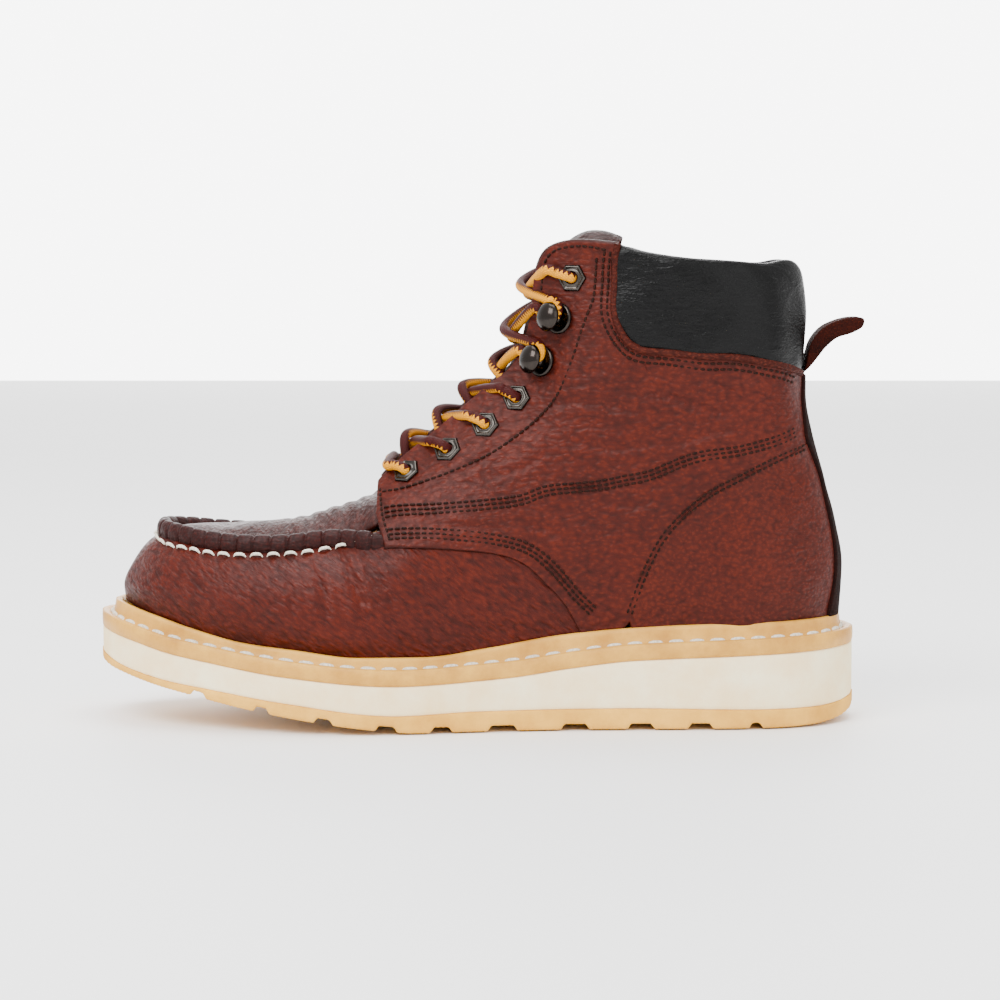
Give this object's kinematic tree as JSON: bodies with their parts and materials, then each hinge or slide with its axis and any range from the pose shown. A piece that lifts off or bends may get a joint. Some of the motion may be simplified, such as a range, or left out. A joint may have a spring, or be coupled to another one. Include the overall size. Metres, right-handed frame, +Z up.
{
  "type": "steel toe work boot",
  "caption": "Ankle-high lace-up work boot with a moc toe over a hidden steel cap, wedge sole, stitched welt, padded collar, hooks and eyelets.",
  "frame": {"origin": "on the ground under the middle of the outsole", "axes": "-X towards the toe, +X towards the heel, -Y to the outer (lateral) side of this left boot, +Z up"},
  "size_m": [0.3028, 0.109, 0.1924],
  "materials": {
    "outsole_rubber": "matt, moulded",
    "midsole_foam": "matt",
    "welt_leather": "satin",
    "cork_filler": "matt",
    "inner_steel": "brushed",
    "board": "matt",
    "footbed_foam": "matt",
    "brown_leather": "pebbled, semi-gloss",
    "raw_leather": "rough suede",
    "black_leather": "smooth, semi-gloss",
    "lining_fabric": "matt",
    "gunmetal": "polished",
    "lace_braid": "braided",
    "aglet_plastic": "clear gloss"
  },
  "bodies": {
    "boot": {"outsole": "outsole_rubber", "midsole": "midsole_foam", "welt": "welt_leather", "filler": "cork_filler", "shank": "inner_steel", "insole_board": "board", "footbed": "footbed_foam", "steel_toe_cap": "inner_steel", "vamp": "brown_leather", "toe_plug": "brown_leather", "moc_roll": "brown_leather", "side_panel_lateral": "brown_leather", "side_panel_medial": "brown_leather", "quarter_lateral": "brown_leather", "quarter_medial": "brown_leather", "counter_lateral": "brown_leather", "counter_medial": "brown_leather", "heel_stiffener": "board", "backstay": "raw_leather", "collar": "black_leather", "vamp_lining": "lining_fabric", "plug_lining": "lining_fabric", "shaft_lining": "lining_fabric", "eyelets_lateral": "gunmetal", "eyelets_medial": "gunmetal", "hooks_lateral": "gunmetal", "hooks_medial": "gunmetal", "lace": "lace_braid", "lace_end_lateral": "lace_braid", "lace_end_medial": "lace_braid", "aglet_lateral": "aglet_plastic", "aglet_medial": "aglet_plastic"},
    "tongue": {"tongue": "brown_leather", "tongue_padding": "lining_fabric"},
    "pull_tab": {"pull_tab": "raw_leather"}
  },
  "joints": [
    {"name": "tongue_tilt", "type": "hinge", "parent": "boot", "child": "tongue", "pos_m": [-0.0335, 0, 0.0885], "axis": [0, 1, 0], "range_deg": [0, 6], "stiffness_Nm_per_rad": 0.15, "springref_deg": -11.46},
    {"name": "pull_tab_bend", "type": "hinge", "parent": "boot", "child": "pull_tab", "pos_m": [0.1294, 0, 0.138], "axis": [0, 1, 0], "range_deg": [-5, 70], "stiffness_Nm_per_rad": 0.02}
  ]
}
